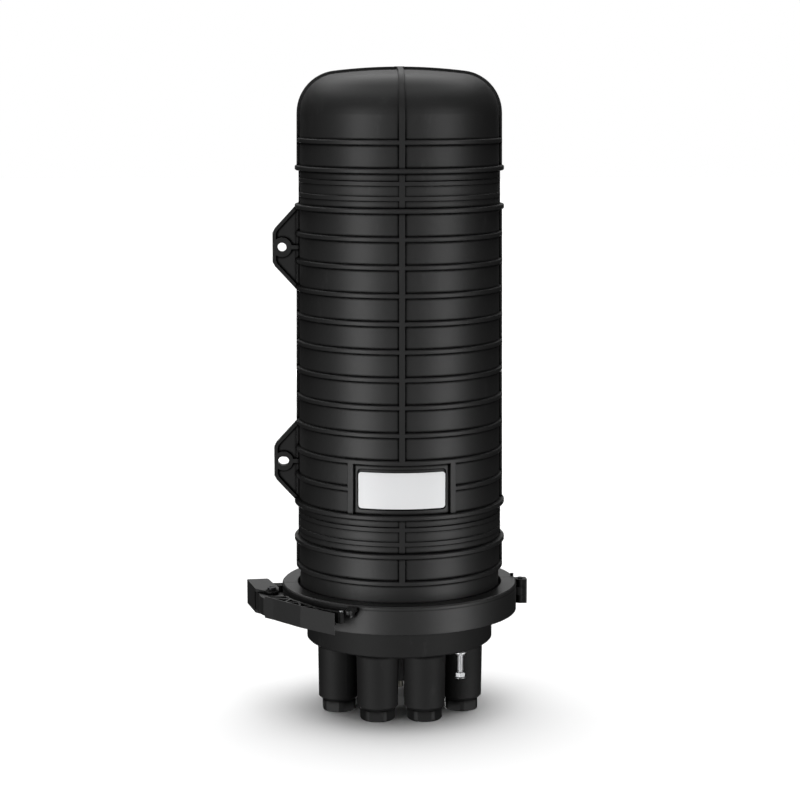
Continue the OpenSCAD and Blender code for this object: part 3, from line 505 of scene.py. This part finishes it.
def earth_point():
    """Stud with a rolled thread, lock washer, washer and hexagon under the collar, and a flanged nut at its end."""
    axis, z0, z1, _ = span_of("earth_stud")
    _, w0, w1, wide = span_of("earth_washer")
    _, n0, n1, flange = span_of("earth_nut")
    d = wide / 2
    plate = w1 - w0
    bore = d / 2 - THREAD_DEPTH
    rod = threaded("earth_stud_thread", axis, z0, z1, d, STUD_PITCH, PALE_ZINC_AND_PAINTED_LIGHT, "closure")
    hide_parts("earth_stud")
    lock_profile = rounded(LOCK_SHARE * wide, w0, w1, WASHER_FILLET)
    lock = turned("earth_lock_washer", axis, lock_profile, STEEL, "closure")
    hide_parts("earth_washer")
    # The washer and hexagon sit in the collar's shadow; their pale zinc is painted light.
    plate_profile = rounded(wide / 2, w0 - plate, w0 - GAP, WASHER_FILLET)
    turned("earth_washer_plate", axis, plate_profile, PALE_ZINC_AND_PAINTED_LIGHT, "closure")
    hex_low, hex_high = w0 - HEX_REACH * plate, w0 - plate - GAP
    hexagon("earth_hexagon", axis, hex_low, hex_high, HEX_TO_STUD * d, bore, PALE_ZINC_AND_PAINTED_LIGHT, "closure")
    nut_low = n0 + FLANGE_HEIGHT - SINK
    nut = hexagon(
        "earth_nut_hexagon", axis, nut_low, n1, NUT_TO_STUD * d, bore, STEEL, "closure", turn=math.pi / 6
    )
    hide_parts("earth_nut")
    flange_profile = rounded(flange / 2, n0, n0 + FLANGE_HEIGHT, FLANGE_FILLET)
    turned("earth_nut_flange", axis, flange_profile, STEEL, "closure")


STEM_PITCH = 0.0008


def valve():
    """The valve's threaded stem."""
    axis, z0, z1, d = span_of("valve_stem")
    stem = threaded("valve_stem_thread", axis, z0, z1, d, STEM_PITCH, NICKEL, "closure", n=40, steps=6)
    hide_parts("valve_stem")


PIN_CHAMFER, HEAD_FILLET, MOST_FILLET = 0.0004, 0.0006, 1 / 2.2  # the last is a share of the head's height
DISH_RIM, DISH_FLOOR, DISH_CENTRE = 0.62, 0.5, 0.1  # radii of the dish, as shares of the head's


def pin_head(node, body, mat, shank_r, head_h, dish=0.0):
    """Pin with a rounded head, and a shallow dish in it where dish is set."""
    axis, z0, z1, head_d = span_of(node)
    head_r = head_d / 2
    profile = [(shank_r - PIN_CHAMFER, z0), (shank_r, z0 + PIN_CHAMFER), (shank_r, z1 - head_h)]
    profile += rounded(head_r, z1 - head_h, z1, min(HEAD_FILLET, head_h * MOST_FILLET))
    if dish:
        profile += [(head_r * DISH_RIM, z1), (head_r * DISH_FLOOR, z1 - dish), (head_r * DISH_CENTRE, z1 - dish)]
    pin = turned(node + "_turned", axis, profile, mat, body)
    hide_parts(node)


def repaint(node, mat, axis, reach):
    """Gives another material to the faces of a node whose centre is within reach of an upright axis."""
    me = NODES[node].data
    me.materials.append(mat)
    for p in me.polygons:
        if math.hypot(p.center[0] - axis[0], p.center[1] - axis[1]) < reach:
            p.material_index = len(me.materials) - 1


earth_point()
valve()
pin_head("hook_pin", "lever", OXIDE, shank_r=0.0025, head_h=0.0024, dish=0.0005)
pin_head("keeper_pin", "lever", STEEL, shank_r=0.00148, head_h=0.0013)
pin_head("hinge_pin", "closure", OXIDE, shank_r=0.00197, head_h=0.0014)

# The hinge's knuckles are smoother and deeper black than the hoop; the corner under the keeper pin gets a matt deeper
# black as painted shade.
KNUCKLE_REACH, CORNER_REACH = 0.0115, 0.0045
for half in ("rear_hoop", "front_hoop"):
    repaint(half, HINGE, span_of("hinge_pin")[0], KNUCKLE_REACH)
repaint("lever", MATT_AND_SHADE, span_of("keeper_pin")[0], CORNER_REACH)

# ---------------------------------------------------------------- floor and light
FLOOR_HALF, FLOOR_DROP = 12.0, 0.0002

floor_mesh = bpy.data.meshes.new("floor")
bm = bmesh.new()
bmesh.ops.create_grid(bm, x_segments=1, y_segments=1, size=FLOOR_HALF)
bm.to_mesh(floor_mesh)
bm.free()
floor = bpy.data.objects.new("floor", floor_mesh)
floor.location = (0, 0, CAD_BOX[0][2] - FLOOR_DROP)
sc.collection.objects.link(floor)
floor_white = Tree("floor_white")
floor_white.put(Base_Color=grey(0.9), Roughness=0.9, Specular_IOR_Level=0.0)
floor_mesh.materials.append(floor_white.mat)

# The white surround is only seen, so the black plastic mirrors the lamps and not the room.
floor.visible_glossy = False
floor.visible_diffuse = False
floor.visible_shadow = False

world = bpy.data.worlds.new("studio")
sc.world = world
world.use_nodes = True
surround = world.node_tree.nodes["Background"]
surround.inputs["Color"].default_value = grey(1.0)
surround.inputs["Strength"].default_value = 1.0
world.cycles_visibility.diffuse = False
world.cycles_visibility.glossy = False
world.cycles_visibility.transmission = False


def overhead(strength, angle, tilt, lean):
    """Broad sky over the object, tilted to come a little from behind it and from its left."""
    data = bpy.data.lights.new("overhead", "SUN")
    data.energy = strength
    data.angle = math.radians(angle)
    obj = bpy.data.objects.new("overhead", data)
    obj.rotation_euler = (-math.radians(tilt), -math.radians(lean), 0.0)
    sc.collection.objects.link(obj)


def soft_box(name, azimuth, distance, z, size, power):
    """Lamp facing the axis; azimuth is from the front, positive to the right."""
    data = bpy.data.lights.new(name, "AREA")
    data.shape = "RECTANGLE"
    data.size, data.size_y = size
    data.energy = power
    obj = bpy.data.objects.new(name, data)
    sc.collection.objects.link(obj)
    a = math.radians(azimuth)
    obj.location = (distance * math.sin(a), -distance * math.cos(a), z)
    obj.rotation_euler = (Vector((0, 0, z)) - obj.location).to_track_quat("-Z", "Y").to_euler()


# Name, azimuth, distance, height, (width, height) of the face, and power.
SOFT_BOXES = (
    ("strip_left", -45.0, 2.6, -0.24, (1.1, 1.9), 40.5),
    ("strip_right", 51.0, 2.6, -0.24, (1.1, 1.9), 33.8),
    ("far_left", -95.0, 2.6, 0.2, (0.9, 1.6), 1.2),
    ("front", 4.0, 3.0, 0.6, (2.0, 2.0), 7.5),
    ("back", 180.0, 3.0, 1.15, (2.4, 1.6), 4.2),
    ("back_strip", 180.0, 2.6, -0.8, (1.2, 1.8), 34.0),
)
overhead(strength=4.2, angle=90.0, tilt=15.5, lean=3.2)
for lamp in SOFT_BOXES:
    soft_box(*lamp)

sc.view_settings.view_transform = "Standard"
sc.view_settings.look = "None"
sc.view_settings.exposure = 0.0
sc.view_settings.gamma = 1.0
